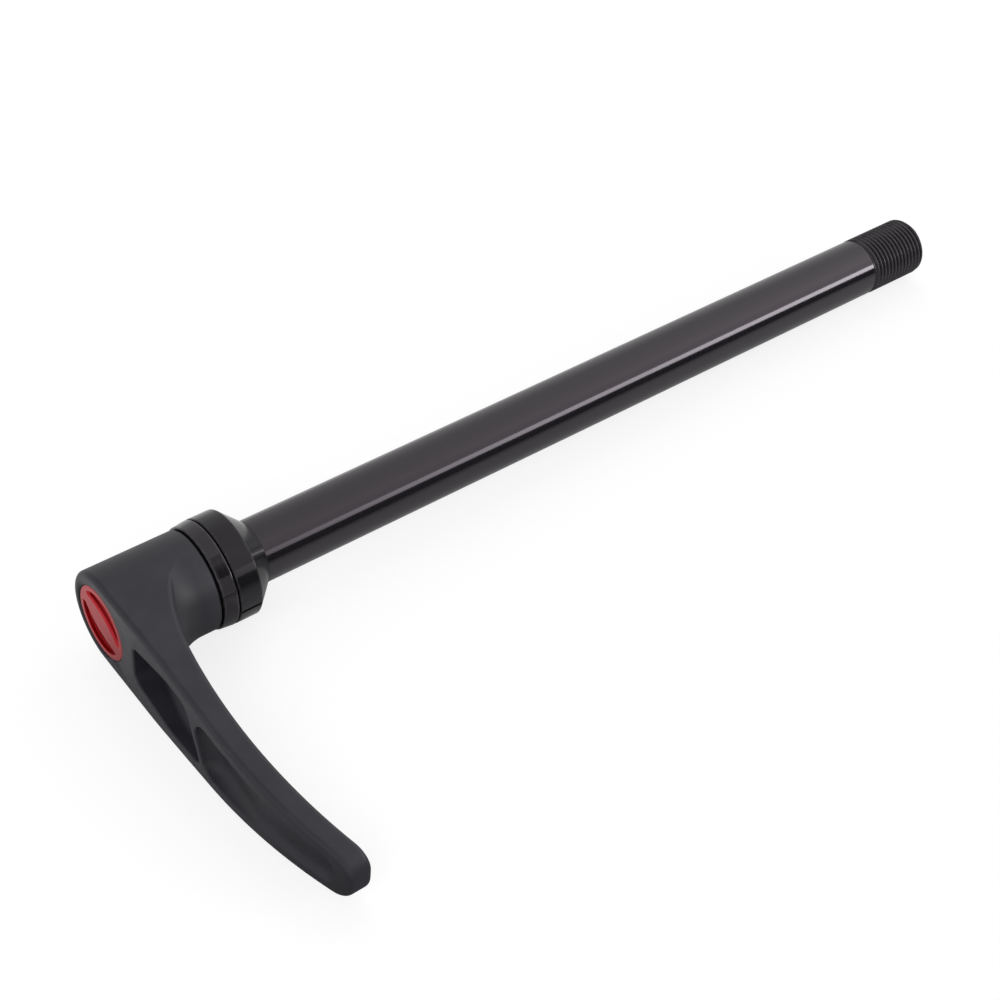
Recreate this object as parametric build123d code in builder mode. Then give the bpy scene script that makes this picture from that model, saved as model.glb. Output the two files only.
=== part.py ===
from build123d import *
import os
from math import cos, radians, sin, sqrt, tan

os.makedirs("parts", exist_ok=True)

# Bicycle thru axle with a ratchet lever. Millimetres. The axle lies along X, with the thread at +X, and the
# lever's arm points along -Y and droops a little, as it comes to rest on a table. The origin is on the axle's
# axis, where the shank starts at the cone's nose.

# Axle shank and thread
shank_diameter = 11.85
shank_length = 149.9
thread_diameter = 12.0
thread_length = 14.35
thread_end_chamfer = 1.0
thread_start_chamfer = 0.3
relief_width = 0.7
relief_depth = 0.5
axle_bore_diameter = 7.5
axle_bore_floor = 2.0
bore_mouth_chamfer = 0.5
drill_point_angle = 118.0

# Neck, split cone ring and flange
neck_depth = 0.5
ring_diameter = 19.9
cone_ring_length = 8.2
cone_angle = 45.0
slit_width = 0.7
slit_angle = -167.5
ring_edge_chamfer = 0.2
flange_width = 2.75
flange_taper = 0.3

# Ratchet: the teeth are shorter than the lever's lift, so that they come out of mesh
lever_lift = 5.0
lift_spare = 0.8
tooth_count = 24
tooth_height = 0.8
tooth_root_share = 0.66
tooth_tip_share = 0.3
spline_root_diameter = 11.4
stem_diameter = 9.0
insert_flat_count = 6
insert_flat_depth = 0.45

# Clearances
running_clearance = 0.05
ring_end_play = 0.1
ring_gap = 0.3
hub_gap = 0.3
tooth_clearance = 0.12
insert_clearance = 0.02
insert_recess = 0.15
cap_clearance = 0.15
cap_recess = 0.1
washer_clearance = 0.15
washer_rim_gap = 0.3
spring_end_gap = 0.05
spring_stem_gap = 0.5

# Lever hub
hub_diameter = 18.8
hub_length = 18.05
hub_wall = 1.4
hub_rim = 2.3
hub_front_chamfer = 0.3
web_thickness = 2.0

# Lever arm, seen from the side (X-Y) and from the outer end (Y-Z), and the angle that it droops
lever_droop = 3.5
lever_reach = 66.9
arm_flat_length = 34.0
arm_outer_radius = 118.0
arm_waist_reach = 36.0
arm_waist_thickness = 4.6
arm_inner_radius = 107.0
flare_reach = 20.0
flare_radius = 40.0
root_fillet = 8.5
arm_parallel_length = 17.0
arm_shoulder_radius = 60.0
arm_side_bulge = 0.3
tip_width = 9.2
tip_corner_radius = 4.1
arm_edge_round = 1.0

# Pockets in the arm's outer face, with the diagonal rib between them
pocket_wall = 1.7
pocket_start = 10.7
pocket_start_width = 8.2
pocket_widest_reach = 22.0
root_pocket_rim = 2.8
root_pocket_corners = (1.6, 20.0, 3.0, 1.6, 20.0, 2.4)
tip_pocket_rim = 1.3
tip_pocket_end = 2.3
tip_pocket_corners = (3.2, 150.0, 3.1, 3.1, 150.0, 3.2)
rib_reach = 29.9
rib_thickness = 1.2
rib_lean = 20.5
ramp_start = 34.0
ramp_round = 15.0
dish_start = 47.0
dish_depth = 1.2
root_floor_round = 1.5
tip_floor_round = 2.9
pocket_rim_round = 0.35

# Thrust washer, return spring and cap screw
washer_thickness = 0.7
spring_wire_diameter = 0.8
spring_turns = 3.4
cap_thickness = 2.0
cap_edge_chamfer = 0.25
cap_screw_diameter = 6.0
cap_screw_length = 8.0
cap_screw_chamfer = 0.5
screw_hole_spare = 1.0
crescent_rim = 1.6
crescent_depth = 0.7
cap_bar_width = 6.6
cap_bar_radius = 12.0
cap_bar_angle = 28.5

# How far cutting shapes run past what they cut, and how near an edge lies to the profile that it follows
overrun = 2.0
edge_tolerance = 0.01

# Radii, and stations along X worked out from the cone's nose
shank_radius = shank_diameter / 2
thread_radius = thread_diameter / 2
bore_radius = axle_bore_diameter / 2
neck_radius = shank_radius - neck_depth
ring_radius = ring_diameter / 2
stem_radius = stem_diameter / 2
spline_root_radius = spline_root_diameter / 2
hub_radius = hub_diameter / 2
insert_radius = hub_radius - hub_wall
cap_bore_radius = hub_radius - hub_rim
cap_radius = cap_bore_radius - cap_clearance
tip_half_width = tip_width / 2
tooth_length = lever_lift - lift_spare

thread_start = shank_length + relief_width
axle_end = thread_start + thread_length
cone_nose = -ring_end_play
cone_back = cone_nose - cone_ring_length
flange_front = cone_back - ring_gap
flange_back = flange_front - flange_width
spline_end = flange_back - tooth_length
hub_front = flange_back - hub_gap
hub_outer = hub_front - hub_length
insert_front = hub_front - insert_recess
insert_back = insert_front - tooth_length
web_outer = insert_back - web_thickness
washer_outer = web_outer - washer_thickness
cap_face = hub_outer + cap_recess
cap_seat = cap_face + cap_thickness
past_tip = lever_reach + 2 * overrun

# Centre of the arm's hollow inner face, in the side view
inner_centre = Vector(hub_outer + arm_waist_thickness + arm_inner_radius, -arm_waist_reach)


def arm_outer_x(reach, inset=0.0):
    """X of the arm's outer face, or of a line inset from it, at a reach from the axle."""
    bend = max(reach - arm_flat_length, 0.0)
    return hub_outer + arm_outer_radius - sqrt((arm_outer_radius - inset) ** 2 - bend**2)


def arm_inner_x(reach, inset=0.0):
    """X of the arm's inner face, or of a line inset from it, at a reach from the axle."""
    return inner_centre.X - sqrt((arm_inner_radius + inset) ** 2 - (reach - arm_waist_reach) ** 2)


def arm_half_width(reach):
    """Half the arm's width at a reach from the axle: parallel near the hub, then a slightly bulging taper."""
    share = max(reach - arm_parallel_length, 0.0) / (lever_reach - arm_parallel_length)
    bulge = 4 * arm_side_bulge * share * (1 - share)
    return hub_radius + (tip_half_width - hub_radius) * share + bulge


# The flare carries the inner face on to the hub. The root fillet touches the flare and the hub's cylinder.
flare_start = Vector(arm_inner_x(flare_reach), -flare_reach)
flare_centre = flare_start + (inner_centre - flare_start).normalized() * flare_radius
root_centre_y = -(hub_radius + root_fillet)
root_span = sqrt((flare_radius - root_fillet) ** 2 - (root_centre_y - flare_centre.Y) ** 2)
root_centre = Vector(flare_centre.X - root_span, root_centre_y)
root_touch = flare_centre + (root_centre - flare_centre).normalized() * flare_radius
root_on_hub = Vector(root_centre.X, -hub_radius)
root_middle = root_centre + ((root_on_hub + root_touch) * 0.5 - root_centre).normalized() * root_fillet


def arm_inner_profile(reach):
    """X of the arm's inner side at a reach from the axle: the flare near the hub, then the hollow face."""
    if reach >= flare_reach:
        return arm_inner_x(reach)
    return flare_centre.X - sqrt(flare_radius**2 - (reach + flare_centre.Y) ** 2)


def side_points(profile, *reaches):
    """Points of a side-view profile, given as X for each reach from the axle."""
    return [(profile(reach), -reach) for reach in reaches]


def follows(edge, profile):
    """True if an edge runs along a side-view profile, given as X for each reach from the axle."""
    points = [edge @ share for share in (0.0, 0.5, 1.0)]
    return all(abs(point.X - profile(-point.Y)) < edge_tolerance for point in points)


def crosses_arm(edge):
    """True if an edge lies straight across the arm, short of its tip."""
    start, end = edge @ 0, edge @ 1
    level = abs(start.Y - end.Y) < edge_tolerance and abs(start.Z + end.Z) < edge_tolerance
    return level and start.Y > tip_corner_radius - lever_reach


def borders_pocket(edge):
    """True if an edge of the outer face lies inside the rims that border the pockets."""
    points = [edge @ share for share in (0.0, 0.5, 1.0)]
    rim_middle = (tip_pocket_rim + arm_edge_round) / 2
    inside = all(abs(point.Z) < arm_half_width(-point.Y) - rim_middle for point in points)
    return inside and points[1].Y > tip_pocket_end / 2 - lever_reach


def drooped_plane(station):
    """Plane across the axle at a station along X, turned with the lever as it droops."""
    turn = radians(lever_droop)
    return Plane(origin=(station, 0, 0), x_dir=(0, cos(turn), sin(turn)), z_dir=(1, 0, 0))


def tooth_profile(clearance):
    """Draw the splined section, grown all round by a clearance, in the current sketch."""
    root = spline_root_radius + clearance
    tip = spline_root_radius + tooth_height + clearance
    pitch = radians(360.0 / tooth_count)
    root_half = root * pitch * tooth_root_share / 2 + clearance
    tip_half = tip * pitch * tooth_tip_share / 2 + clearance
    foot = root - tooth_height / 2
    Circle(root)
    with PolarLocations(0, tooth_count):
        Polygon((foot, -root_half), (tip, -tip_half), (tip, tip_half), (foot, root_half), align=None)


def insert_outline(clearance):
    """Draw the ratchet insert's outline, round with flats that stop it turning, in the current sketch."""
    Circle(insert_radius + clearance)
    flat = insert_radius - insert_flat_depth + clearance
    with PolarLocations(flat + insert_radius / 2, insert_flat_count):
        Rectangle(insert_radius, 2 * insert_radius, mode=Mode.SUBTRACT)


# Axle: one turned piece with stem, spline, flange, neck, shank and thread, bored from the thread end
with BuildPart() as axle:
    with BuildSketch(Plane.XY):
        with BuildLine():
            Polyline(
                (cap_seat, 0),
                (cap_seat, stem_radius),
                (flange_back, stem_radius),
                (flange_back, ring_radius - flange_taper - ring_edge_chamfer),
                (flange_back + ring_edge_chamfer, ring_radius - flange_taper),
                (flange_front - ring_edge_chamfer, ring_radius),
                (flange_front, ring_radius - ring_edge_chamfer),
                (flange_front, neck_radius),
                (0, neck_radius),
                (0, shank_radius),
                (shank_length, shank_radius),
                (shank_length, shank_radius - relief_depth),
                (thread_start, shank_radius - relief_depth),
                (thread_start, thread_radius - thread_start_chamfer),
                (thread_start + thread_start_chamfer, thread_radius),
                (axle_end - thread_end_chamfer, thread_radius),
                (axle_end, thread_radius - thread_end_chamfer),
                (axle_end, 0),
                close=True,
            )
        make_face()
    revolve(axis=Axis.X)
    with BuildSketch(drooped_plane(spline_end)):
        tooth_profile(0)
    extrude(amount=tooth_length)
    with BuildSketch(Plane.XY):
        with BuildLine():
            Polyline(
                (axle_bore_floor - bore_radius / tan(radians(drill_point_angle / 2)), 0),
                (axle_bore_floor, bore_radius),
                (axle_end - bore_mouth_chamfer, bore_radius),
                (axle_end, bore_radius + bore_mouth_chamfer),
                (axle_end, 0),
                close=True,
            )
        make_face()
    revolve(axis=Axis.X, mode=Mode.SUBTRACT)
    with BuildSketch(Plane.YZ.offset(cap_seat)):
        Circle(cap_screw_diameter / 2 + running_clearance)
    extrude(amount=cap_screw_length + screw_hole_spare, mode=Mode.SUBTRACT)
axle.part.label = "axle"
export_step(axle.part, "parts/axle.step")

# Split cone ring: snaps into the axle's neck, with its cone towards the thread and one axial slit
with BuildPart() as cone_ring:
    ring_bore = neck_radius + running_clearance
    cone_length = (ring_radius - shank_radius) / tan(radians(cone_angle))
    with BuildSketch(Plane.XY):
        with BuildLine():
            Polyline(
                (cone_back, ring_bore),
                (cone_back, ring_radius - ring_edge_chamfer),
                (cone_back + ring_edge_chamfer, ring_radius),
                (cone_nose - cone_length, ring_radius),
                (cone_nose, shank_radius),
                (cone_nose, ring_bore),
                close=True,
            )
        make_face()
    revolve(axis=Axis.X)
    slit_direction = (0, cos(radians(slit_angle)), sin(radians(slit_angle)))
    with BuildSketch(Plane(origin=(cone_back, 0, 0), x_dir=slit_direction, z_dir=(1, 0, 0))):
        with Locations((ring_radius, 0)):
            Rectangle(2 * ring_radius, slit_width)
    extrude(amount=cone_ring_length, mode=Mode.SUBTRACT)
cone_ring.part.label = "cone_ring"
export_step(cone_ring.part, "parts/cone_ring.step")

# Ratchet insert: toothed ring held in the lever's hub
with BuildPart() as ratchet_insert:
    with BuildSketch(drooped_plane(insert_back)):
        insert_outline(0)
    extrude(amount=tooth_length)
    with BuildSketch(drooped_plane(insert_back)):
        tooth_profile(tooth_clearance)
    extrude(amount=tooth_length, mode=Mode.SUBTRACT)
ratchet_insert.part.label = "ratchet_insert"
export_step(ratchet_insert.part, "parts/ratchet_insert.step")

# Space of the deep pocket at the arm's root, whose floor follows the arm's inner face
rib_slope = tan(radians(rib_lean))
rib_half = rib_thickness / 2 / cos(radians(rib_lean))
with BuildPart() as root_pocket:
    with BuildSketch(Plane.XY):
        floor_reaches = (0, rib_reach / 2, arm_waist_reach)
        floor_points = [(arm_inner_x(reach, pocket_wall), -reach) for reach in floor_reaches]
        with BuildLine():
            ThreePointArc(*floor_points)
            Polyline(
                floor_points[2],
                (hub_outer - overrun, -arm_waist_reach),
                (hub_outer - overrun, 0),
                floor_points[0],
            )
        make_face()
    extrude(amount=hub_radius, both=True)
    widest = arm_half_width(pocket_widest_reach) - root_pocket_rim
    at_rib = arm_half_width(rib_reach) - root_pocket_rim
    with BuildSketch(Plane.YZ.offset(hub_outer - overrun)):
        with BuildLine():
            FilletPolyline(
                (-pocket_start, pocket_start_width / 2),
                (-pocket_widest_reach, widest),
                (rib_half + at_rib * rib_slope - rib_reach, at_rib),
                (rib_half - at_rib * rib_slope - rib_reach, -at_rib),
                (-pocket_widest_reach, -widest),
                (-pocket_start, -pocket_start_width / 2),
                radius=root_pocket_corners,
                close=True,
            )
        make_face()
    extrude(amount=hub_length, mode=Mode.INTERSECT)
    fillet(root_pocket.faces().sort_by(Axis.X)[-1].edges(), root_floor_round)

# Space of the shallow dish towards the tip, which is deeper beside the rib
with BuildPart() as tip_pocket:
    with BuildSketch(Plane.XY) as dish_side:
        deep_reaches = (rib_reach - hub_radius, rib_reach, ramp_start)
        deep_points = [(arm_inner_x(reach, pocket_wall), -reach) for reach in deep_reaches]
        dish_reaches = (dish_start, (dish_start + past_tip) / 2, past_tip)
        dish_points = [(arm_outer_x(reach, dish_depth), -reach) for reach in dish_reaches]
        with BuildLine():
            ThreePointArc(*deep_points)
            Line(deep_points[2], dish_points[0])
            ThreePointArc(*dish_points)
            Polyline(
                dish_points[2],
                (hub_outer - overrun, dish_points[2][1]),
                (hub_outer - overrun, deep_points[0][1]),
                deep_points[0],
            )
        make_face()
        ramp_ends = [Vertex(*point, 0) for point in (deep_points[2], dish_points[0])]
        fillet([dish_side.vertices().sort_by_distance(end)[0] for end in ramp_ends], ramp_round)
    extrude(amount=hub_radius, both=True)
    dish_end = lever_reach - tip_pocket_end
    dish_middle = (rib_reach + dish_end) / 2
    near_rib = arm_half_width(rib_reach) - root_pocket_rim
    mid_dish = arm_half_width(dish_middle) - (root_pocket_rim + tip_pocket_rim) / 2
    near_tip = arm_half_width(dish_end) - tip_pocket_rim
    with BuildSketch(Plane.YZ.offset(hub_outer - overrun)):
        with BuildLine():
            FilletPolyline(
                (near_rib * rib_slope - rib_half - rib_reach, near_rib),
                (-dish_middle, mid_dish),
                (-dish_end, near_tip),
                (-dish_end, -near_tip),
                (-dish_middle, -mid_dish),
                (-near_rib * rib_slope - rib_half - rib_reach, -near_rib),
                radius=tip_pocket_corners,
                close=True,
            )
        make_face()
    extrude(amount=hub_length, mode=Mode.INTERSECT)
    side_edges = tip_pocket.edges().filter_by(Axis.X, reverse=True).filter_by(Axis.Z, reverse=True)
    fillet(side_edges.filter_by_position(Axis.X, hub_outer, hub_front), tip_floor_round)

# Lever seen from its outer end: round hub, parallel root, bulging taper and rounded tip
side_reaches = (arm_parallel_length, (arm_parallel_length + lever_reach) / 2, lever_reach)
with BuildSketch(Plane.YZ.offset(hub_outer)) as lever_outline:
    with BuildLine():
        ThreePointArc((0, hub_radius), (hub_radius, 0), (0, -hub_radius))
        Line((0, -hub_radius), (-arm_parallel_length, -hub_radius))
        ThreePointArc(*[(-reach, -arm_half_width(reach)) for reach in side_reaches])
        Line((-lever_reach, -tip_half_width), (-lever_reach, tip_half_width))
        ThreePointArc(*[(-reach, arm_half_width(reach)) for reach in reversed(side_reaches)])
        Line((-arm_parallel_length, hub_radius), (0, hub_radius))
    make_face()
    fillet(lever_outline.vertices().group_by(Axis.X)[1], arm_shoulder_radius)
    fillet(lever_outline.vertices().group_by(Axis.X)[0], tip_corner_radius)

# Hub with the hollow root fillet turned all round it, trimmed to the lever's outline
with BuildPart() as lever_root:
    with BuildSketch(Plane.XY):
        with BuildLine():
            Polyline(
                (root_touch.X, root_touch.Y),
                (hub_outer, root_touch.Y),
                (hub_outer, 0),
                (hub_front, 0),
                (hub_front, hub_front_chamfer - hub_radius),
                (hub_front - hub_front_chamfer, -hub_radius),
                (root_on_hub.X, root_on_hub.Y),
            )
            ThreePointArc(root_on_hub, root_middle, root_touch)
        make_face()
    revolve(axis=Axis.X)
    extrude(lever_outline.sketch, amount=hub_length, dir=(1, 0, 0), mode=Mode.INTERSECT)

# Lever before it droops: one moulding of arm and hub, with pockets, insert's seat, web and cap's bore
with BuildPart() as level_lever:
    with BuildSketch(Plane.XY):
        outer_points = side_points(arm_outer_x, arm_flat_length, (arm_flat_length + past_tip) / 2, past_tip)
        inner_points = side_points(arm_inner_x, past_tip, (past_tip + flare_reach) / 2, flare_reach)
        flare_points = side_points(arm_inner_profile, flare_reach, flare_reach / 2, 0)
        with BuildLine():
            Line((hub_outer, 0), outer_points[0])
            ThreePointArc(*outer_points)
            Line(outer_points[2], inner_points[0])
            ThreePointArc(*inner_points)
            ThreePointArc(*flare_points)
            Line(flare_points[2], (hub_outer, 0))
        make_face()
    extrude(amount=hub_radius + overrun, both=True)
    extrude(lever_outline.sketch, amount=hub_length, dir=(1, 0, 0), mode=Mode.INTERSECT)
    inner_edges = level_lever.edges().filter_by(lambda edge: follows(edge, arm_inner_profile))
    fillet(inner_edges.filter_by(crosses_arm, reverse=True), arm_edge_round)
    add(lever_root.part)
    outer_edges = level_lever.edges().filter_by(lambda edge: follows(edge, arm_outer_x))
    fillet(outer_edges.filter_by(crosses_arm, reverse=True), arm_edge_round)
    add(root_pocket.part, mode=Mode.SUBTRACT)
    add(tip_pocket.part, mode=Mode.SUBTRACT)
    face_edges = level_lever.edges().filter_by(lambda edge: follows(edge, arm_outer_x))
    rim_edges = face_edges.filter_by(borders_pocket).filter_by(crosses_arm, reverse=True)
    fillet(rim_edges, pocket_rim_round)
    with BuildSketch(Plane.YZ.offset(insert_back)):
        insert_outline(insert_clearance)
    extrude(amount=hub_front - insert_back, mode=Mode.SUBTRACT)
    with BuildSketch(Plane.YZ.offset(web_outer)):
        Circle(stem_radius + running_clearance)
    extrude(amount=web_thickness, mode=Mode.SUBTRACT)
    with BuildSketch(Plane.YZ.offset(hub_outer)):
        Circle(cap_bore_radius)
    extrude(amount=web_outer - hub_outer, mode=Mode.SUBTRACT)

# Lever: turned about the axle until it lies on the table
with BuildPart() as lever:
    add(level_lever.part, rotation=(lever_droop, 0, 0))
lever.part.label = "lever"
export_step(lever.part, "parts/lever.step")

# Thrust washer: lies on the hub's web and carries the spring
with BuildPart() as thrust_washer:
    with BuildSketch(Plane.YZ.offset(washer_outer)):
        Circle(cap_bore_radius - washer_rim_gap)
        Circle(stem_radius + washer_clearance, mode=Mode.SUBTRACT)
    extrude(amount=washer_thickness)
thrust_washer.part.label = "thrust_washer"
export_step(thrust_washer.part, "parts/thrust_washer.step")

# Return spring: coil around the stem, between the cap and the washer
with BuildPart() as return_spring:
    spring_end = spring_end_gap + spring_wire_diameter / 2
    coil_height = washer_outer - cap_seat - 2 * spring_end
    with BuildLine() as coil:
        Helix(
            pitch=coil_height / spring_turns,
            height=coil_height,
            radius=stem_radius + spring_stem_gap + spring_wire_diameter / 2,
            center=(cap_seat + spring_end, 0, 0),
            direction=(1, 0, 0),
        )
    with BuildSketch(Plane(origin=coil.line @ 0, z_dir=coil.line % 0)):
        Circle(spring_wire_diameter / 2)
    sweep(path=coil.line, is_frenet=True)
return_spring.part.label = "return_spring"
export_step(return_spring.part, "parts/return_spring.step")

# Cap screw: flat head with two crescent recesses beside a barrel-shaped bar, and a screw into the stem
with BuildPart() as cap_screw:
    screw_radius = cap_screw_diameter / 2
    screw_end = cap_seat + cap_screw_length
    with BuildSketch(Plane.XY):
        with BuildLine():
            Polyline(
                (cap_face, 0),
                (cap_face, cap_radius - cap_edge_chamfer),
                (cap_face + cap_edge_chamfer, cap_radius),
                (cap_seat, cap_radius),
                (cap_seat, screw_radius),
                (screw_end - cap_screw_chamfer, screw_radius),
                (screw_end, screw_radius - cap_screw_chamfer),
                (screw_end, 0),
                close=True,
            )
        make_face()
    revolve(axis=Axis.X)
    bar_direction = (0, cos(radians(cap_bar_angle)), sin(radians(cap_bar_angle)))
    bar_half = cap_bar_width / 2
    bar_reach = sqrt(cap_bar_radius**2 - (cap_bar_radius - bar_half) ** 2)
    with BuildSketch(Plane(origin=(cap_face, 0, 0), x_dir=bar_direction, z_dir=(1, 0, 0))):
        Circle(cap_radius - crescent_rim)
        with BuildLine():
            ThreePointArc((-bar_reach, 0), (0, bar_half), (bar_reach, 0))
            ThreePointArc((bar_reach, 0), (0, -bar_half), (-bar_reach, 0))
        make_face(mode=Mode.SUBTRACT)
    extrude(amount=crescent_depth, mode=Mode.SUBTRACT)
cap_screw.part.label = "cap_screw"
export_step(cap_screw.part, "parts/cap_screw.step")
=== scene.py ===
"""Visual model of a bicycle thru axle with a ratchet lever, and the studio in which it is photographed.

All sizes are in millimetres and degrees, unless a docstring says otherwise. The axle lies along X with its thread
towards +X, the lever's arm points to -Y, and Z is up.
"""

import logging
from dataclasses import dataclass
from enum import Enum

import bmesh
import bpy
import numpy as np
from mathutils import Matrix, Vector

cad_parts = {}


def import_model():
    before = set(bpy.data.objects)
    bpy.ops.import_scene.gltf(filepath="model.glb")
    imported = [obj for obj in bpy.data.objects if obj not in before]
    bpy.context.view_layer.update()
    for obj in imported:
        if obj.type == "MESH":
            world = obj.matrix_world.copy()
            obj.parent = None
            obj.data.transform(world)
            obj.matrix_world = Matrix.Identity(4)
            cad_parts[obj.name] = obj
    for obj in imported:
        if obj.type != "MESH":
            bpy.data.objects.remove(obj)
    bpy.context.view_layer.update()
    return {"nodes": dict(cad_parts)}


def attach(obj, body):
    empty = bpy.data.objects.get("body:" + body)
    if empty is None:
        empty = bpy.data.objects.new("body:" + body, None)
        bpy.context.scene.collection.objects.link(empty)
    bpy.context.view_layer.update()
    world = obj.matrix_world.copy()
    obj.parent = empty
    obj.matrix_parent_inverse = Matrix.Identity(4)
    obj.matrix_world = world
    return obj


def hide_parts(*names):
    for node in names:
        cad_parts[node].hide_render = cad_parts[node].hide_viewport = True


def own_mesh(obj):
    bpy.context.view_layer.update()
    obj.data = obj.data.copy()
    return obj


MM = 0.001
WELD_MM = 0.0001
TINY = 1e-12
LOG = logging.getLogger("thru_axle")

Pair = tuple[float, float]
Triple = tuple[float, float, float]
Socket = bpy.types.NodeSocket

WHITE = (1.0, 1.0, 1.0, 1.0)
BLACK = (0.0, 0.0, 0.0, 1.0)


class Body(Enum):
    """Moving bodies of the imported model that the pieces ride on."""

    AXLE = "axle"
    LEVER = "lever"
    CONE_RING = "cone_ring"


# ---- Surfaces ----------------------------------------------------------------------------------------


def metres(lengths: Pair) -> Pair:
    """Two lengths in metres."""
    return lengths[0] * MM, lengths[1] * MM


def around_axis(stations: np.ndarray | float, radii: np.ndarray, angles: np.ndarray) -> np.ndarray:
    """Points round the axis: the station in X, and the radius times the angle's cosine in Y and its sine in Z.

    Args:
        stations: Places along X.
        radii: Distances from the axis.
        angles: Angles round it in radians. All three are spread to one common shape.

    Returns:
        Points as that shape by 3.
    """
    stations, radii, angles = np.broadcast_arrays(stations, radii, angles)
    return np.stack([stations, radii * np.cos(angles), radii * np.sin(angles)], axis=-1)


@dataclass
class Surface:
    """A mesh in arrays: faces of one patch share smooth normals, and patches meet in a crisp edge."""

    points: np.ndarray
    wear_and_sheen: np.ndarray
    faces: np.ndarray
    patch: np.ndarray

    @classmethod
    def from_grid(cls, grid: np.ndarray, closed: bool, wear_and_sheen: np.ndarray | None = None) -> "Surface":
        """Join the points of a grid to quads, whose outside is where columns cross rows.

        Args:
            grid: Points as rows by columns by 3.
            closed: Whether the last column joins the first.
            wear_and_sheen: How exposed each row is to scuffing, from 0 to 1, which also sets its painted edge
                highlight.

        Returns:
            The surface as one patch.
        """
        rows, columns = grid.shape[:2]
        index = np.arange(rows * columns).reshape(rows, columns)
        if closed:
            index = np.concatenate([index, index[:, :1]], axis=1)
        corners = (index[:-1, :-1], index[:-1, 1:], index[1:, 1:], index[1:, :-1])
        faces = np.stack(corners, axis=-1).reshape(-1, 4)
        by_row = np.zeros(rows) if wear_and_sheen is None else wear_and_sheen
        return cls(grid.reshape(-1, 3), np.repeat(by_row, columns), faces, np.zeros(len(faces), dtype=int))

    @classmethod
    def from_fan(cls, outline: np.ndarray) -> "Surface":
        """Fill a closed outline with triangles from its middle.

        Args:
            outline: Points in order round the outline, anticlockwise seen from outside.

        Returns:
            The surface as one patch.
        """
        count = len(outline)
        here = np.arange(count)
        middle = np.full(count, count)
        faces = np.stack([here, np.roll(here, -1), middle, middle], axis=1)
        points = np.vstack([outline, outline.mean(axis=0)])
        return cls(points, np.zeros(count + 1), faces, np.zeros(count, dtype=int))

    @classmethod
    def joined(cls, *parts: "Surface") -> "Surface":
        """Put several surfaces together, and keep each one's patches apart.

        Args:
            parts: The surfaces to join.

        Returns:
            One surface with all their faces.
        """
        point_starts = np.cumsum([0] + [len(part.points) for part in parts[:-1]])
        patch_starts = np.cumsum([0] + [part.patch.max() + 1 for part in parts[:-1]])
        return cls(
            np.vstack([part.points for part in parts]),
            np.concatenate([part.wear_and_sheen for part in parts]),
            np.vstack([part.faces + start for part, start in zip(parts, point_starts)]),
            np.concatenate([part.patch + start for part, start in zip(parts, patch_starts)]),
        )

    def flipped(self) -> "Surface":
        """Turn the surface inside out."""
        return Surface(self.points, self.wear_and_sheen, self.faces[:, ::-1], self.patch)

    def welded(self) -> "Surface":
        """Merge points that coincide, and drop faces that have no area left.

        Returns:
            The welded surface.
        """
        keys = np.round(self.points / WELD_MM).astype(np.int64)
        _, first, place = np.unique(keys, axis=0, return_index=True, return_inverse=True)
        faces = place.reshape(-1)[self.faces]
        distinct = (faces != np.roll(faces, -1, axis=1)).sum(axis=1)
        kept = distinct >= 3
        return Surface(self.points[first], self.wear_and_sheen[first], faces[kept], self.patch[kept])

    def corner_normals(self) -> np.ndarray:
        """Normal at each corner of each face: the area-weighted mean of the patch's faces round that point.

        Returns:
            Unit normals as faces by 4 by 3.
        """
        corners = self.points[self.faces]
        across = np.cross(corners[:, 2] - corners[:, 0], corners[:, 3] - corners[:, 1])
        patches = self.patch.max() + 1
        slot = self.faces * patches + self.patch[:, None]
        total = np.zeros((len(self.points) * patches, 3))
        np.add.at(total, slot, across[:, None, :])
        total /= np.maximum(np.linalg.norm(total, axis=1, keepdims=True), TINY)
        return total[slot]

    def to_object(self, name: str) -> bpy.types.Object:
        """Make a Blender object, in metres, with the patches' normals, and the scuffing and painted edge
        highlight as an attribute.

        Args:
            name: Name of the object and its mesh.

        Returns:
            The object, linked to the scene.
        """
        surface = self.welded()
        used = surface.faces != np.roll(surface.faces, -1, axis=1)
        counts = used.sum(axis=1)
        mesh = bpy.data.meshes.new(name)
        mesh.vertices.add(len(surface.points))
        mesh.vertices.foreach_set("co", (surface.points * MM).ravel())
        mesh.loops.add(int(counts.sum()))
        mesh.loops.foreach_set("vertex_index", surface.faces[used].astype(np.int32))
        mesh.polygons.add(len(surface.faces))
        starts = np.cumsum(counts) - counts
        mesh.polygons.foreach_set("loop_start", starts.astype(np.int32))
        mesh.polygons.foreach_set("use_smooth", np.ones(len(surface.faces), dtype=bool))
        mesh.update(calc_edges=True)
        mesh.normals_split_custom_set(surface.corner_normals()[used])
        mesh.attributes.new("wear_and_sheen", "FLOAT", "POINT").data.foreach_set("value", surface.wear_and_sheen)
        return linked(name, mesh)


def linked(name: str, data: bpy.types.ID) -> bpy.types.Object:
    """Make an object and link it to the scene.

    Args:
        name: Name of the object.
        data: Its mesh, lamp or camera.

    Returns:
        The object.
    """
    made = bpy.data.objects.new(name, data)
    bpy.context.scene.collection.objects.link(made)
    return made


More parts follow.
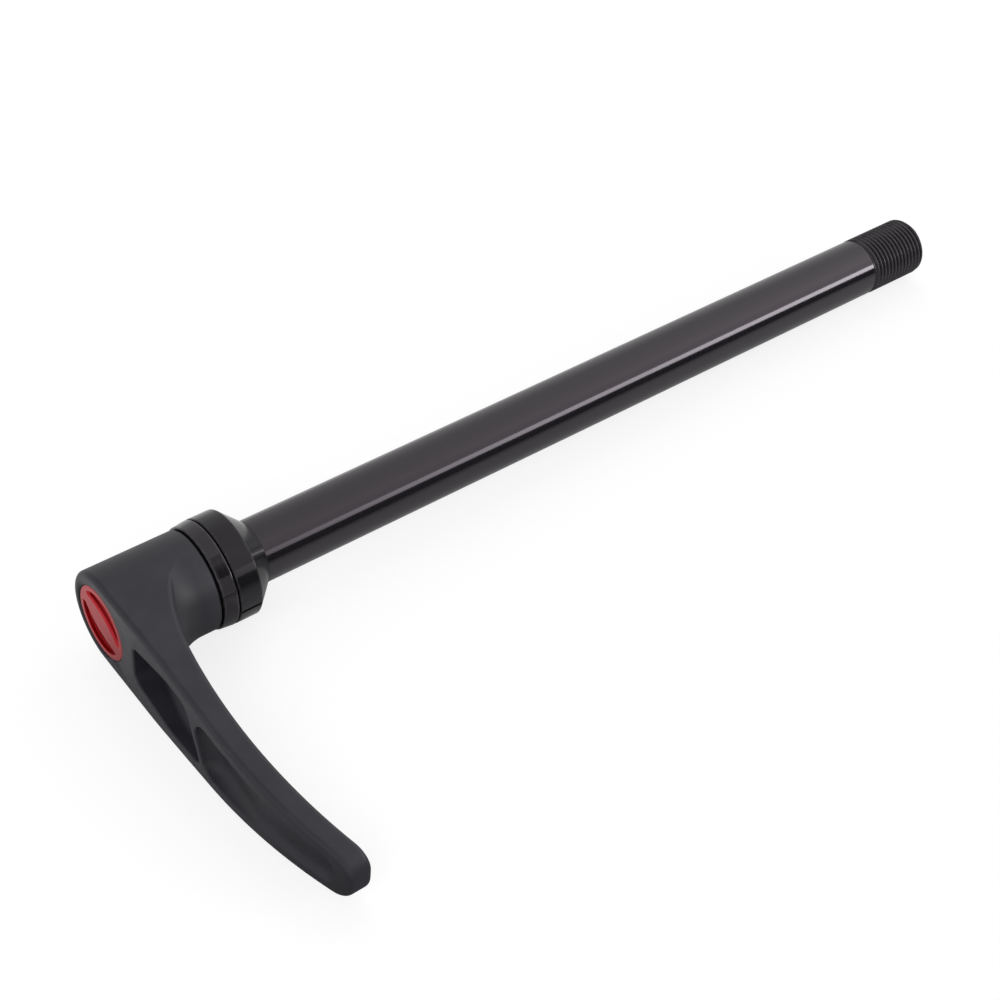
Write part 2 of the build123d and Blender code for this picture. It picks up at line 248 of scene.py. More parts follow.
@dataclass(frozen=True)
class Profile:
    """A line of stations along X and radii, with rounded corners, to be carried round the axis."""

    stations: np.ndarray
    radii: np.ndarray
    wear_and_sheen: np.ndarray

    @classmethod
    def rounded(cls, corners: list[Triple], steps: int = 5, margin: float = 1.5, side: float = 0.3) -> "Profile":
        """Round the corners of a polyline.

        Each inner corner becomes an arc that touches both its sides, turned evenly from one touching point to
        the other, with one more point on each side a little way off, which keeps the rest of the side flat.

        Args:
            corners: Station, radius and rounding of each corner. The outside lies to the left of the line.
            steps: Points on each arc.
            margin: How far off the extra points lie, in roundings.
            side: The most that this may be, as a share of what is left of the side.

        Returns:
            The rounded line. Scuffing and a painted edge highlight are 1 on corners that stand out and 0
            elsewhere.
        """
        table = np.array(corners, dtype=float)
        point, rounding = table[1:-1, :2], table[1:-1, 2:]
        back, ahead = table[:-2, :2] - point, table[2:, :2] - point
        back_length = np.linalg.norm(back, axis=1, keepdims=True)
        ahead_length = np.linalg.norm(ahead, axis=1, keepdims=True)
        back, ahead = back / back_length, ahead / ahead_length
        half = np.arccos(np.clip((back * ahead).sum(axis=1, keepdims=True), -1, 1)) / 2
        setback = rounding / np.tan(half)
        middle = back + ahead
        centre = point + middle / np.linalg.norm(middle, axis=1, keepdims=True) * rounding / np.sin(half)
        start, end = point + back * setback - centre, point + ahead * setback - centre
        sweep = np.pi - 2 * half
        share = np.linspace(0, 1, steps)
        from_start = np.sin((1 - share) * sweep) / np.sin(sweep)
        from_end = np.sin(share * sweep) / np.sin(sweep)
        arcs = centre[:, None] + start[:, None] * from_start[..., None] + end[:, None] * from_end[..., None]
        far_back = setback + np.minimum(margin * rounding, (back_length - setback) * side)
        far_ahead = setback + np.minimum(margin * rounding, (ahead_length - setback) * side)
        before, after = point + back * far_back, point + ahead * far_ahead
        line = np.concatenate([before[:, None], arcs, after[:, None]], axis=1)
        turn = back[:, 0] * ahead[:, 1] - back[:, 1] * ahead[:, 0]
        # Corners that stand out get scuffing and a painted edge highlight.
        worn_and_lit = np.zeros(line.shape[:2])
        worn_and_lit[turn > 0, 1:-1] = 1.0
        points = np.vstack([table[:1, :2], line.reshape(-1, 2), table[-1:, :2]])
        return cls(points[:, 0], points[:, 1], np.concatenate([[0.0], worn_and_lit.ravel(), [0.0]]))

    def revolved(self, angles: np.ndarray) -> Surface:
        """Carry the line round the axis: each point goes to its radius times the angle's cosine and sine.

        Args:
            angles: Angles of the columns in radians, once round.

        Returns:
            The closed surface of revolution.
        """
        grid = around_axis(self.stations[:, None], self.radii[:, None], angles)
        return Surface.from_grid(grid, True, self.wear_and_sheen)


# ---- Finishes ----------------------------------------------------------------------------------------


class Nodes:
    """Short way to place shader nodes in a tree and link them."""

    def __init__(self, tree: bpy.types.NodeTree) -> None:
        """Keep the tree that the nodes go into."""
        self.tree = tree

    def add(self, kind: str, inputs: dict[str | int, object] | None = None, **settings: object) -> bpy.types.Node:
        """Place a node.

        Args:
            kind: Blender's type of the node.
            inputs: Values for its sockets, or output sockets to link to them.
            settings: Other settings of the node.

        Returns:
            The node.
        """
        node = self.tree.nodes.new(kind)
        for name, value in settings.items():
            setattr(node, name, value)
        self.feed(node, inputs or {})
        return node

    def feed(self, node: bpy.types.Node, inputs: dict[str | int, object]) -> None:
        """Set a node's sockets, or link them.

        Args:
            node: The node.
            inputs: Values for its sockets, or output sockets to link to them.
        """
        for name, value in inputs.items():
            if isinstance(value, Socket):
                self.tree.links.new(value, node.inputs[name])
            else:
                node.inputs[name].default_value = value

    def show(self, shader: bpy.types.Node) -> None:
        """Put a shader in the Principled BSDF's place."""
        self.tree.nodes.remove(self.tree.nodes["Principled BSDF"])
        self.feed(self.tree.nodes["Material Output"], {"Surface": shader.outputs[0]})

    def math(self, operation: str, *values: object) -> Socket:
        """Place a Math node and give its result."""
        return self.add("ShaderNodeMath", dict(enumerate(values)), operation=operation).outputs[0]

    def ranged(
        self, value: object, given: Pair, wanted: tuple[object, object], kind: str = "SMOOTHSTEP"
    ) -> Socket:
        """Place a Map Range node and give its result.

        Args:
            value: What to map.
            given: Its lowest and highest value.
            wanted: What these become.
            kind: Blender's type of interpolation between them.

        Returns:
            The mapped value.
        """
        limits = {"From Min": given[0], "From Max": given[1], "To Min": wanted[0], "To Max": wanted[1]}
        node = self.add("ShaderNodeMapRange", {"Value": value, **limits}, interpolation_type=kind)
        return node.outputs["Result"]

    def mixed(self, share: object, one: object, other: object) -> Socket:
        """Place a colour Mix node, whose colour sockets are the numbers 0, 6 and 7, and give its result, 2."""
        return self.add("ShaderNodeMix", {0: share, 6: one, 7: other}, data_type="RGBA").outputs[2]

    def place(self) -> tuple[Socket, Socket, Socket, Socket]:
        """Place a Texture Coordinate node and give Object coordinates, as a vector and as X, Y and Z."""
        vector = self.add("ShaderNodeTexCoord").outputs["Object"]
        return vector, *self.add("ShaderNodeSeparateXYZ", {0: vector}).outputs


def new_material(name: str) -> tuple[bpy.types.Material, Nodes]:
    """Start a material with a Principled BSDF.

    Args:
        name: Name of the material.

    Returns:
        The material and the means to place nodes in it.
    """
    made = bpy.data.materials.new(name)
    made.use_nodes = True
    return made, Nodes(made.node_tree)


def opaque(colour: Triple, share: float = 1.0) -> tuple[float, float, float, float]:
    """A colour times a share, with full alpha."""
    return colour[0] * share, colour[1] * share, colour[2] * share, 1.0


def node_group(name: str, inputs: dict[str, float], outputs: tuple[str, ...]) -> tuple[bpy.types.NodeTree, Nodes]:
    """Start a shader node group with number sockets.

    Args:
        name: Name of the group.
        inputs: Names and default values of its inputs.
        outputs: Names of its outputs.

    Returns:
        The group and the means to place nodes in it.
    """
    tree = bpy.data.node_groups.new(name, "ShaderNodeTree")
    for socket, value in inputs.items():
        made = tree.interface.new_socket(socket, in_out="INPUT", socket_type="NodeSocketFloat")
        made.default_value = value
    for socket in outputs:
        tree.interface.new_socket(socket, in_out="OUTPUT", socket_type="NodeSocketFloat")
    return tree, Nodes(tree)


class Effects:
    """Node groups that several finishes share. Their patterns lie in millimetres on Object coordinates."""

    sway_scale = 0.15
    streaks_per_mm = 0.7
    cell_share = 0.5
    wear_and_sheen_noise = (0.35, 0.7)
    wear_and_sheen_share = (0.25, 1.0)

    def __init__(self) -> None:
        """Build each group once."""
        self.turning = self._turning_marks()
        self.grain = self._fine_grain()
        self.edge_wear_and_sheen = self._edge_wear_and_sheen_group()

    @staticmethod
    def _millimetres(nodes: Nodes) -> Socket:
        """Object coordinates in millimetres."""
        place = nodes.add("ShaderNodeTexCoord").outputs["Object"]
        return nodes.add("ShaderNodeVectorMath", {0: place, 3: 1 / MM}, operation="SCALE").outputs[0]

    def _turning_marks(self) -> bpy.types.NodeTree:
        """Lathe lines: noise that changes fast along X and hardly round the axis.

        Returns:
            The group.
        """
        tree, nodes = node_group("turning_marks", {"Lines per mm": 6.0, "Sway": 0.05}, ("Lines", "Streaks"))
        given = nodes.add("NodeGroupInput")
        place = self._millimetres(nodes)
        along = nodes.add("ShaderNodeSeparateXYZ", {0: place}).outputs
        slow_noise = {"Vector": place, "Scale": self.sway_scale, "Detail": 1.0}
        sway = nodes.add("ShaderNodeTexNoise", slow_noise).outputs[0]
        bent = nodes.math("MULTIPLY_ADD", sway, given.outputs["Sway"], along[0])
        fast = nodes.math("MULTIPLY", bent, given.outputs["Lines per mm"])
        slow = nodes.math("MULTIPLY", bent, self.streaks_per_mm)
        lines = nodes.add("ShaderNodeTexNoise", {"W": fast, "Detail": 3.0}, noise_dimensions="1D").outputs[0]
        streaks = nodes.add("ShaderNodeTexNoise", {"W": slow, "Detail": 2.0}, noise_dimensions="1D").outputs[0]
        nodes.add("NodeGroupOutput", {"Lines": lines, "Streaks": streaks})
        return tree

    def _fine_grain(self) -> bpy.types.NodeTree:
        """Spark-eroded grain: small cells with soft noise between them, and a slow mottle.

        Returns:
            The group.
        """
        tree, nodes = node_group("fine_grain", {"Grain size": 0.25, "Mottle size": 6.0}, ("Grain", "Mottle"))
        given = nodes.add("NodeGroupInput")
        place = self._millimetres(nodes)
        fine = nodes.math("DIVIDE", 1.0, given.outputs["Grain size"])
        broad = nodes.math("DIVIDE", 1.0, given.outputs["Mottle size"])
        noise = nodes.add("ShaderNodeTexNoise", {"Vector": place, "Scale": fine, "Detail": 3.0}).outputs[0]
        cells = nodes.add("ShaderNodeTexVoronoi", {"Vector": place, "Scale": fine}).outputs["Distance"]
        grain = nodes.math("MULTIPLY_ADD", cells, self.cell_share, noise)
        mottle = nodes.add("ShaderNodeTexNoise", {"Vector": place, "Scale": broad, "Detail": 2.0}).outputs[0]
        nodes.add("NodeGroupOutput", {"Grain": grain, "Mottle": mottle})
        return tree

    def _edge_wear_and_sheen_group(self) -> bpy.types.NodeTree:
        """Scuffing on corners, with a painted edge highlight: the wear_and_sheen attribute, broken up by noise.

        Returns:
            The group.
        """
        tree, nodes = node_group("painted_sheen_and_wear", {"Amount": 0.5, "Break-up": 1.2}, ("Edge_sheen_and_wear",))
        given = nodes.add("NodeGroupInput")
        place = self._millimetres(nodes)
        # Lighter corners: scuffing, and a painted edge highlight.
        worn_and_lit = nodes.add("ShaderNodeAttribute", attribute_name="wear_and_sheen").outputs["Fac"]
        spots = {"Vector": place, "Scale": given.outputs["Break-up"], "Detail": 4.0}
        noise = nodes.add("ShaderNodeTexNoise", spots)
        patches = nodes.ranged(noise.outputs[0], self.wear_and_sheen_noise, self.wear_and_sheen_share)
        sheen_and_wear = nodes.math("MULTIPLY", nodes.math("MULTIPLY", worn_and_lit, patches), given.outputs["Amount"])
        nodes.add("NodeGroupOutput", {"Edge_sheen_and_wear": sheen_and_wear})
        return tree


@dataclass(frozen=True)
class Finish:
    """What all finishes have: a colour, a roughness that swings with a noise, and a fine relief.

    From one station on, where a reach is given, the surface is cut and has another roughness.
    """

    name: str
    colour: Triple
    roughness: float
    metallic: float = 0.0
    specular: float = 0.5
    specular_tint: Triple = (1.0, 1.0, 1.0)
    gloss_change: float = 0.05
    gloss_noise: Pair = (0.25, 0.75)
    relief_strength: float = 0.04
    relief_depth: float = 0.02
    cut_reach: Pair | None = None
    cut_roughness: float = 0.3

    def pattern(self, nodes: Nodes, effects: Effects) -> tuple[Socket, Socket, Socket]:
        """Colour, noise for the gloss and height of the relief, which each kind of finish gives."""
        raise NotImplementedError

    def material(self, effects: Effects) -> bpy.types.Material:
        """Build the material.

        Args:
            effects: The shared node groups.

        Returns:
            The material.
        """
        made, nodes = new_material(self.name)
        colour, noise, height = self.pattern(nodes, effects)
        span = (self.roughness - self.gloss_change, self.roughness + self.gloss_change)
        rough = nodes.ranged(noise, self.gloss_noise, span)
        if self.cut_reach is not None:
            rough = nodes.ranged(nodes.place()[1], metres(self.cut_reach), (rough, self.cut_roughness))
        relief = {"Strength": self.relief_strength, "Distance": self.relief_depth * MM}
        bump = nodes.add("ShaderNodeBump", {"Height": height, **relief})
        look = {
            "Base Color": colour,
            "Roughness": rough,
            "Normal": bump.outputs["Normal"],
            "Metallic": self.metallic,
            "Specular IOR Level": self.specular,
            "Specular Tint": opaque(self.specular_tint),
        }
        nodes.feed(made.node_tree.nodes["Principled BSDF"], look)
        return made


@dataclass(frozen=True)
class TurnedFinish(Finish):
    """Turned metal, plain or anodised: lathe lines, streaks in its gloss, corners scuffed and with a painted edge
    highlight.
    """

    sheen_and_wear_colour: Triple = (0.6, 0.6, 0.6)
    deep_share: float = 0.82
    lines_per_mm: float = 7.0
    edge_wear_and_sheen: float = 0.4

    def pattern(self, nodes: Nodes, effects: Effects) -> tuple[Socket, Socket, Socket]:
        """Deepen the colour in the streaks, and lighten it on corners, for scuffing and a painted edge highlight.

        Args:
            nodes: The means to place nodes.
            effects: The shared node groups.

        Returns:
            The colour, the streaks and the lines.
        """
        marks = nodes.add("ShaderNodeGroup", {"Lines per mm": self.lines_per_mm}, node_tree=effects.turning)
        sheen_and_wear = nodes.add("ShaderNodeGroup", {"Amount": self.edge_wear_and_sheen}, node_tree=effects.edge_wear_and_sheen)
        lines, streaks = marks.outputs
        dyed = nodes.mixed(streaks, opaque(self.colour, self.deep_share), opaque(self.colour))
        # Corners mix towards a lighter colour: scuffing, and a painted edge highlight.
        return nodes.mixed(sheen_and_wear.outputs["Edge_sheen_and_wear"], dyed, opaque(self.sheen_and_wear_colour)), streaks, lines


@dataclass(frozen=True)
class MouldedFinish(Finish):
    """Matte moulding: fine grain, a slow mottle in its colour and gloss."""

    gloss_change: float = 0.04
    gloss_noise: Pair = (0.3, 0.7)
    relief_strength: float = 0.12
    relief_depth: float = 0.05
    grain_size: float = 0.22
    mottle_shares: Pair = (0.85, 1.15)

    def pattern(self, nodes: Nodes, effects: Effects) -> tuple[Socket, Socket, Socket]:
        """Let the colour swing with the mottle.

        Args:
            nodes: The means to place nodes.
            effects: The shared node groups.

        Returns:
            The colour, the mottle and the grain.
        """
        group = nodes.add("ShaderNodeGroup", {"Grain size": self.grain_size}, node_tree=effects.grain)
        grain, mottle = group.outputs
        dark, light = (opaque(self.colour, share) for share in self.mottle_shares)
        return nodes.mixed(nodes.ranged(mottle, self.gloss_noise, (0.0, 1.0)), dark, light), mottle, grain


BLACK_ANODISED = TurnedFinish(
    "black_anodised",
    colour=(0.0125, 0.0115, 0.0135),
    sheen_and_wear_colour=(0.10, 0.10, 0.105),
    roughness=0.10,
    gloss_change=0.02,
    edge_wear_and_sheen=0.25,
    specular=0.6,
    specular_tint=(1.0, 0.9, 1.0),
    cut_reach=(149.95, 150.05),
    cut_roughness=0.27,
)
RING_ANODISED = TurnedFinish(
    "ring_anodised",
    colour=(0.011, 0.0105, 0.012),
    sheen_and_wear_colour=(0.12, 0.12, 0.125),
    roughness=0.12,
    gloss_change=0.02,
    edge_wear_and_sheen=0.15,
    specular=0.32,
    specular_tint=(1.0, 0.92, 1.0),
)
RED_ANODISED = TurnedFinish(
    "red_anodised",
    colour=(0.45, 0.02, 0.027),
    sheen_and_wear_colour=(0.62, 0.11, 0.12),
    roughness=0.34,
    metallic=1.0,
    lines_per_mm=4.0,
    gloss_change=0.04,
    edge_wear_and_sheen=0.35,
)
INSERT_STEEL = TurnedFinish("insert_steel", (0.42, 0.42, 0.43), 0.35, metallic=1.0, sheen_and_wear_colour=(0.6, 0.6, 0.6))
WASHER_STEEL = TurnedFinish("washer_steel", (0.5, 0.5, 0.51), 0.3, metallic=1.0, sheen_and_wear_colour=(0.65, 0.65, 0.65))
SPRING_STEEL = TurnedFinish(
    "spring_steel",
    colour=(0.38, 0.38, 0.4),
    sheen_and_wear_colour=(0.5, 0.5, 0.5),
    roughness=0.28,
    metallic=1.0,
    lines_per_mm=12.0,
)
LEVER_MOULDING = MouldedFinish("lever_moulding", (0.0240, 0.0228, 0.0295), 0.5, specular=0.36)


# ---- Sub-assemblies ----------------------------------------------------------------------------------


@dataclass(frozen=True)
class Piece:
    """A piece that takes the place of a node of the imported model, and moves with that node's body."""

    name: str
    node: str
    body: Body

    def surface(self) -> Surface:
        """The piece's surface, which each kind of piece gives."""
        raise NotImplementedError

    def shape(self) -> bpy.types.Object:
        """The piece's object, without a finish."""
        return self.surface().to_object(self.name)

    def build(self, finish: Finish, effects: Effects) -> bpy.types.Object:
        """Build the piece, give it its finish in a slot and its body, hide the node it replaces, and report it.

        Args:
            finish: Its finish, which has the name of its material slot.
            effects: The shared node groups.

        Returns:
            The piece.
        """
        material = finish.material(effects)
        piece = self.shape()
        piece.data.materials.append(material)
        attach(piece, self.body.value)
        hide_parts(self.node)
        LOG.info("%s: %d faces, rides on %s", piece.name, len(piece.data.polygons), self.body.value)
        return piece


@dataclass(frozen=True)
class Axle(Piece):
    """Turned axle: stem with spline, flange, neck, shank, relief groove, fine thread and bore."""

    hole_floor: float = -18.6
    hole_radius: float = 3.05
    hole_rounds: Pair = (0.1, 0.2)
    stem_end: float = -27.6
    stem_radius: float = 4.5
    stem_round: float = 0.3
    spline_end: float = -15.55
    spline_root_radius: float = 5.7
    tooth_height: float = 0.8
    tooth_count: int = 24
    tooth_turn: float = 3.5
    tooth_columns: tuple[float, ...] = (-0.33, -0.15, 0.0, 0.15, 0.33, 0.5)
    tooth_tips: tuple[float, ...] = (0.0, 1.0, 1.0, 1.0, 0.0, 0.0)
    tooth_ease_length: float = 0.25
    tooth_ease_height: float = 0.2
    foot_margin: float = 0.4
    flange_back: float = -11.35
    flange_front: float = -8.6
    flange_back_radius: float = 9.65
    flange_front_radius: float = 9.95
    flange_rounds: Pair = (0.22, 0.18)
    neck_radius: float = 5.425
    neck_rounds: Pair = (0.15, 0.12)
    shank_radius: float = 5.925
    shank_end: float = 149.9
    shank_rounds: Pair = (0.012, 0.12)
    groove_round: float = 0.15
    thread_start: float = 150.25
    thread_radius: float = 6.0
    thread_depth: float = 0.58
    thread_pitch: float = 1.0
    thread_end: float = 164.95
    thread_rows: tuple[float, ...] = (0.0, 0.06, 0.13, 0.23, 0.34, 0.44, 0.5, 0.56, 0.66, 0.77, 0.87, 0.94)
    thread_middle: float = 0.5
    thread_crest: float = 0.06
    thread_root: float = 0.40
    thread_run_in: float = 1.9
    thread_end_round: float = 1.3
    spare_turns: int = 3
    bore_radius: float = 3.75
    bore_floor: float = 2.0
    bore_chamfer: float = 0.5
    bore_rounds: Triple = (0.08, 0.12, 0.1)
    drill_half_angle: float = 59.0

    @property
    def angles(self) -> np.ndarray:
        """Columns round the axis: the same places in each tooth, at its foot, flanks and tip."""
        teeth = np.arange(self.tooth_count)[:, None] + np.array(self.tooth_columns)
        return np.radians(self.tooth_turn) + 2 * np.pi / self.tooth_count * teeth.ravel()

    @property
    def foot_radius(self) -> float:
        """Radius of a circle just beyond the tips of the teeth."""
        return self.spline_root_radius + self.tooth_height + self.foot_margin

    def tooth_radii(self, height: float) -> np.ndarray:
        """Radii of the columns: the spline's root, plus the height where a column lies on a tooth's tip."""
        return self.spline_root_radius + height * np.tile(self.tooth_tips, self.tooth_count)

    def turned(self) -> list[Surface]:
        """Carry three lines round the axis: hole and stem, flange to groove, and end face, bore and drill point.

        Returns:
            The three surfaces.
        """
        point = self.bore_floor - self.bore_radius / np.tan(np.radians(self.drill_half_angle))
        stem = [
            (self.hole_floor, 0.0, 0.0),
            (self.hole_floor, self.hole_radius, self.hole_rounds[0]),
            (self.stem_end, self.hole_radius, self.hole_rounds[1]),
            (self.stem_end, self.stem_radius, self.stem_round),
            (self.spline_end, self.stem_radius, 0.0),
        ]
        shaft = [
            (self.flange_back, self.foot_radius, 0.0),
            (self.flange_back, self.flange_back_radius, self.flange_rounds[0]),
            (self.flange_front, self.flange_front_radius, self.flange_rounds[1]),
            (self.flange_front, self.neck_radius, self.neck_rounds[0]),
            (0.0, self.neck_radius, self.neck_rounds[1]),
            (0.0, self.shank_radius, self.shank_rounds[0]),
            (self.shank_end, self.shank_radius, self.shank_rounds[1]),
            (self.shank_end, self.neck_radius, self.groove_round),
            (self.thread_start, self.neck_radius, 0.0),
        ]
        bore = [
            (self.thread_end, self.thread_radius - self.thread_end_round, 0.0),
            (self.thread_end, self.bore_radius + self.bore_chamfer, self.bore_rounds[0]),
            (self.thread_end - self.bore_chamfer, self.bore_radius, self.bore_rounds[1]),
            (self.bore_floor, self.bore_radius, self.bore_rounds[2]),
            (point, 0.0, 0.0),
        ]
        return [Profile.rounded(corners).revolved(self.angles) for corners in (stem, shaft, bore)]

    def spline(self) -> Surface:
        """Carry the columns' radii along the spline, eased at its end face, and out to a circle on the flange.

        Returns:
            The end face, the teeth and the flange's flat round them.
        """
        end, foot = self.spline_end, self.flange_back
        tooth = self.tooth_radii(self.tooth_height)
        eased = self.tooth_radii(self.tooth_height - self.tooth_ease_height)
        inner, outer = np.full_like(tooth, self.stem_radius), np.full_like(tooth, self.foot_radius)
        stations = np.array([end, end, end + self.tooth_ease_length, foot, foot])[:, None]
        grid = around_axis(stations, np.stack([inner, eased, tooth, tooth, outer]), self.angles)
        return Surface.joined(*(Surface.from_grid(rows, True) for rows in (grid[:2], grid[1:4], grid[3:])))

    def thread(self) -> Surface:
        """Helical thread.

        Rows run along helices, one pitch further for each turn. The height above the root falls off from the
        narrow crest on straight flanks, and a short run-in and a quarter circle at the end cut it off. Rows
        beyond an end are drawn back to it, where they weld together.

        Returns:
            The threaded surface from the groove to the end face.
        """
        around = self.angles
        turns = int((self.thread_end - self.thread_start) / self.thread_pitch) + self.spare_turns
        phases = np.array(self.thread_rows)
        steps = (np.arange(-1, turns - 1)[:, None] + phases).reshape(-1, 1)
        lag = (around - around[0]) / (2 * np.pi)
        x = np.clip(self.thread_start + self.thread_pitch * (steps + lag), self.thread_start, self.thread_end)
        phase = ((x - self.thread_start) / self.thread_pitch - lag) % 1.0
        from_crest = np.abs(phase - self.thread_middle)
        rise = np.clip((self.thread_root - from_crest) / (self.thread_root - self.thread_crest), 0, 1)
        root = self.thread_radius - self.thread_depth
        run_in = self.neck_radius + (x - self.thread_start) * self.thread_run_in
        short = np.clip(1 - (self.thread_end - x) / self.thread_end_round, 0, 1)
        rounded = self.thread_radius - self.thread_end_round * (1 - np.sqrt(1 - short**2))
        radius = np.minimum(root + self.thread_depth * rise, np.minimum(run_in, rounded))
        pitch_rows = len(phases)
        seam = np.concatenate([radius[pitch_rows:, :1], radius[-pitch_rows:, -1:]])
        seam_x = np.concatenate([x[pitch_rows:, :1], x[-pitch_rows:, -1:]])
        turned = np.concatenate([around, around[:1]])
        grid = around_axis(np.hstack([x, seam_x]), np.hstack([radius, seam]), turned)
        # Crests get scuffing and a painted highlight along them.
        on_crest = np.abs(phases - self.thread_middle) <= self.thread_crest
        return Surface.from_grid(grid, False, np.tile(np.where(on_crest, 1.0, 0.0), turns))

    def surface(self) -> Surface:
        """All of the axle, from the screw hole to the bore."""
        stem, shaft, bore = self.turned()
        return Surface.joined(stem, self.spline(), shaft, self.thread(), bore)


@dataclass(frozen=True)
class ConeRing(Piece):
    """Split conical ring in the axle's neck."""

    back: float = -8.3
    nose: float = -0.012
    outer_radius: float = 9.95
    nose_radius: float = 5.925
    bore_radius: float = 5.475
    cone_round: float = 0.25
    nose_round: float = 0.012
    bore_rounds: Pair = (0.12, 0.15)
    back_round: float = 0.2
    slit_width: float = 0.7
    slit_angle: float = -167.5
    columns: int = 144

    def surface(self) -> Surface:
        """Carry the ring's closed section round from one wall of the slit to the other.

        At each radius the turn starts where half the slit's width is reached, so the slit's walls are parallel.

        Returns:
            The ring with the slit's walls.
        """
        cone_start = self.nose - (self.outer_radius - self.nose_radius)
        middle = (self.back + cone_start) / 2
        corners = [
            (middle, self.outer_radius, 0.0),
            (cone_start, self.outer_radius, self.cone_round),
            (self.nose, self.nose_radius, self.nose_round),
            (self.nose, self.bore_radius, self.bore_rounds[0]),
            (self.back, self.bore_radius, self.bore_rounds[1]),
            (self.back, self.outer_radius, self.back_round),
            (middle, self.outer_radius, 0.0),
        ]
        section = Profile.rounded(corners)
        gap = np.arcsin(self.slit_width / 2 / section.radii)[:, None]
        share = np.linspace(0, 1, self.columns)
        angles = np.radians(self.slit_angle) + gap + share * (2 * np.pi - 2 * gap)
        grid = around_axis(section.stations[:, None], section.radii[:, None], angles)
        first, last = Surface.from_fan(grid[:-1, 0]), Surface.from_fan(grid[:-1, -1])
        return Surface.joined(Surface.from_grid(grid, False, section.wear_and_sheen), first, last.flipped())


@dataclass(frozen=True)
class CapScrew(Piece):
    """Cap with two crescent recesses beside a barrel-shaped bar, and its screw."""

    face: float = -29.69
    seat: float = -27.6
    radius: float = 7.03
    edge: float = 0.4
    edge_round: float = 0.25
    seat_rounds: Pair = (0.1, 0.15)
    screw_radius: float = 3.0
    screw_end: float = -19.6
    screw_chamfer: float = 0.5
    screw_round: float = 0.1
    crescent_radius: float = 5.9
    crescent_depth: float = 0.76
    horn_round: float = 0.4
    rim_round: float = 0.12
    bar_round: float = 0.62
    floor_round: float = 0.15
    bar_half: float = 2.9
    bar_arc: float = 12.0
    bar_angle: float = 28.5
    horn_points: int = 6
    side_points: int = 42
    wall_points: int = 7
    flat_rows: int = 7

    def outline(self) -> tuple[np.ndarray, np.ndarray, int]:
        """Outline of one crescent in the cap's plane, from the middle of one rounded horn and back to it.

        The outer edge is an arc round the axis, the inner edge an arc of the bar's side, and each horn is
        rounded about the point where both edges, moved inwards by the horn's radius, meet.

        Returns:
            The points, the directions out of the crescent, and how many points the outer half has.
        """
        drop = self.bar_arc - self.bar_half
        inner, outer = self.bar_arc + self.horn_round, self.crescent_radius - self.horn_round
        height = (inner**2 - drop**2 - outer**2) / (2 * drop)
        width = np.sqrt(outer**2 - height**2)
        to_outer = np.arctan2(height, width)
        to_inner = np.arctan2(-(height + drop), -width)
        mid = (to_outer + to_inner) / 2
        right, left = np.array([width, height]), np.array([-width, height])
        horn, side = self.horn_points, self.side_points
        bar_side = np.linspace(-to_inner, np.pi + to_inner, side)[1:-1]
        arms = (
            (right, self.horn_round, np.linspace(mid, to_outer, horn), 1.0),
            (np.zeros(2), self.crescent_radius, np.linspace(to_outer, np.pi - to_outer, side)[1:-1], 1.0),
            (left, self.horn_round, np.linspace(np.pi - to_outer, np.pi - mid, horn), 1.0),
            (left, self.horn_round, np.linspace(np.pi - mid, np.pi - to_inner, horn)[1:], 1.0),
            (np.array([0.0, -drop]), self.bar_arc, bar_side, -1.0),
            (right, self.horn_round, np.linspace(to_inner, mid, horn)[:-1], 1.0),
        )
        turns = [np.stack([np.cos(angle), np.sin(angle)], axis=1) for _, _, angle, _ in arms]
        points = np.vstack([centre + radius * turn for (centre, radius, _, _), turn in zip(arms, turns)])
        outwards = np.vstack([sign * turn for (_, _, _, sign), turn in zip(arms, turns)])
        return points, outwards, sum(len(angle) for _, _, angle, _ in arms[:3])

    def placed(self, flat: np.ndarray, depth: np.ndarray | float) -> np.ndarray:
        """Put points of the cap's plane at a depth below its face.

        Args:
            flat: Points along and across the bar.
            depth: Depth below the face, towards +X.

        Returns:
            Points in space.
        """
        turn = np.radians(self.bar_angle)
        along, across = flat[..., 0], flat[..., 1]
        y = along * np.cos(turn) - across * np.sin(turn)
        z = along * np.sin(turn) + across * np.cos(turn)
        return np.stack([self.face + depth + np.zeros_like(y), y, z], axis=-1)

    def head(self) -> tuple[Surface, np.ndarray]:
        """Face of the cap with its recesses.

        A wall profile, rounded at rim and floor, is carried round each crescent's outline; its upper rounding
        grows from the rim's to the bar's as the wall turns to the bar. The floors and the flats between, round
        and beyond the crescents are ruled from one edge to the other.

        Returns:
            The surface and the angles of the columns on the cap's edge.
        """
        points, outwards, half = self.outline()
        bend = np.linspace(0, np.pi / 2, self.wall_points)[:, None]
        on_bar = np.clip(0.5 - outwards[:, 1] * np.sign(points[:, 1]), 0, 1)
        rim = self.rim_round + (self.bar_round - self.rim_round) * on_bar
        foot = np.full_like(rim, self.floor_round)
        offset = np.concatenate([rim * (1 - np.sin(bend)), -foot * (1 - np.cos(bend))])
        sunk = self.crescent_depth - foot * (1 - np.sin(bend))
        depth = np.concatenate([rim * (1 - np.cos(bend)), sunk])
        wall = points + outwards * offset[..., None]
        top, floor = self.edges(wall[0], half), self.edges(wall[-1], half)
        share = np.linspace(0, 1, self.flat_rows)[:, None, None]
        bar = top[1] * (1 - share) - top[1][::-1] * share
        sheets = [self.placed(bar, 0.0)]
        columns = []
        for sign in (1.0, -1.0):
            sheets.append(self.placed(sign * (floor[0] * (1 - share) + floor[1] * share), self.crescent_depth))
            sheets.append(self.placed(np.stack([self.on_edge(sign * top[0]), sign * top[0]]), 0.0))
            end = sign * bar[:, 0]
            sheets.append(self.placed(np.stack([end, self.on_edge(end)]), 0.0))
            columns += [end[-2:0:-1], sign * top[0]]
        flats = [Surface.from_grid(sheet, False).flipped() for sheet in sheets]
